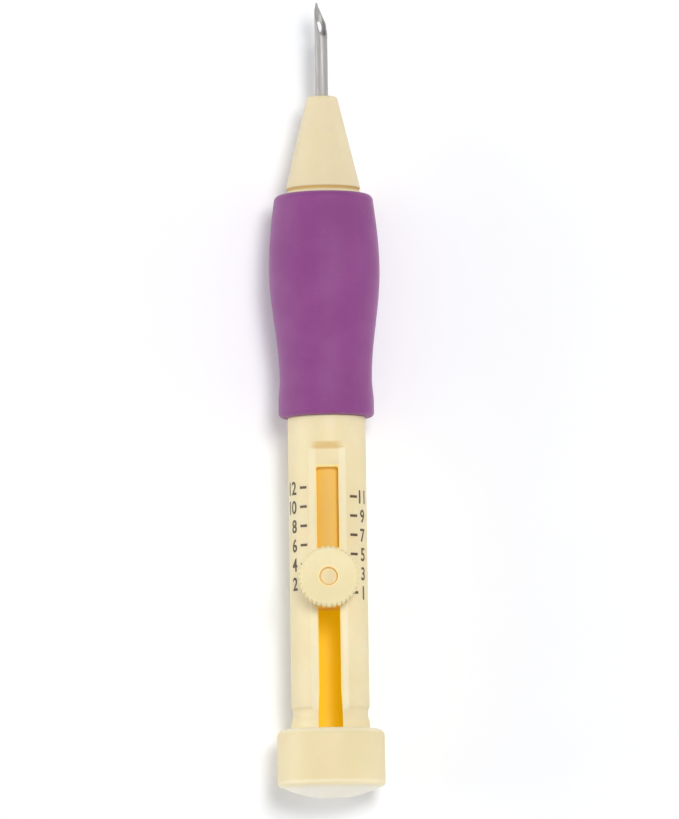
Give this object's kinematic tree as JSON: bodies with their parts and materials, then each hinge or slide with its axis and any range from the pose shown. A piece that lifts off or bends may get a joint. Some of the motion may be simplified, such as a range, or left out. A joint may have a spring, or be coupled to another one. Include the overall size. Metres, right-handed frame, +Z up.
{
  "type": "punch needle",
  "caption": "Adjustable punch needle: hollow steel needle in a sliding holder, cream handle with depth marks, soft purple grip, knurled clamp knob and domed end cap.",
  "frame": {"origin": "middle of the pen's footprint on the surface it lies on, under its axis", "axes": "+Y along the pen towards the needle's point, +Z up through the clamp knob, +X to the right seen from the knob with the needle up"},
  "size_m": [0.0208, 0.1505, 0.0225],
  "materials": {
    "cream_plastic": "satin moulded",
    "purple_rubber": "matte soft-touch",
    "bright_steel": "ground and polished"
  },
  "bodies": {
    "handle": {"barrel": "cream_plastic", "nose_cone": "cream_plastic", "grip_sleeve": "purple_rubber", "spring": "bright_steel"},
    "needle_carriage": {"needle_holder": "cream_plastic", "needle": "bright_steel"},
    "washer": {"clamp_washer": "bright_steel"},
    "knob": {"clamp_knob": "cream_plastic"},
    "cap": {"end_cap": "cream_plastic"}
  },
  "joints": [
    {"name": "needle_slide", "type": "slide", "parent": "handle", "child": "needle_carriage", "axis": [0, 1, 0], "range_m": [-0.0217, 0.0188], "deforming": ["spring"]},
    {"name": "washer_lift", "type": "slide", "parent": "needle_carriage", "child": "washer", "axis": [0, 0, 1], "range_m": [0, 0.0014]},
    {"name": "knob_turn", "type": "hinge", "parent": "washer", "child": "knob", "pos_m": [0, -0.0343, 0.01793], "axis": [0, 0, 1], "range_deg": [0, 720]},
    {"name": "cap_pull", "type": "slide", "parent": "handle", "child": "cap", "axis": [0, -1, 0], "range_m": [0, 0.012]}
  ],
  "couplings": [
    {"joint": "knob_turn", "follows": "washer_lift", "rad_per_m": 8976}
  ]
}
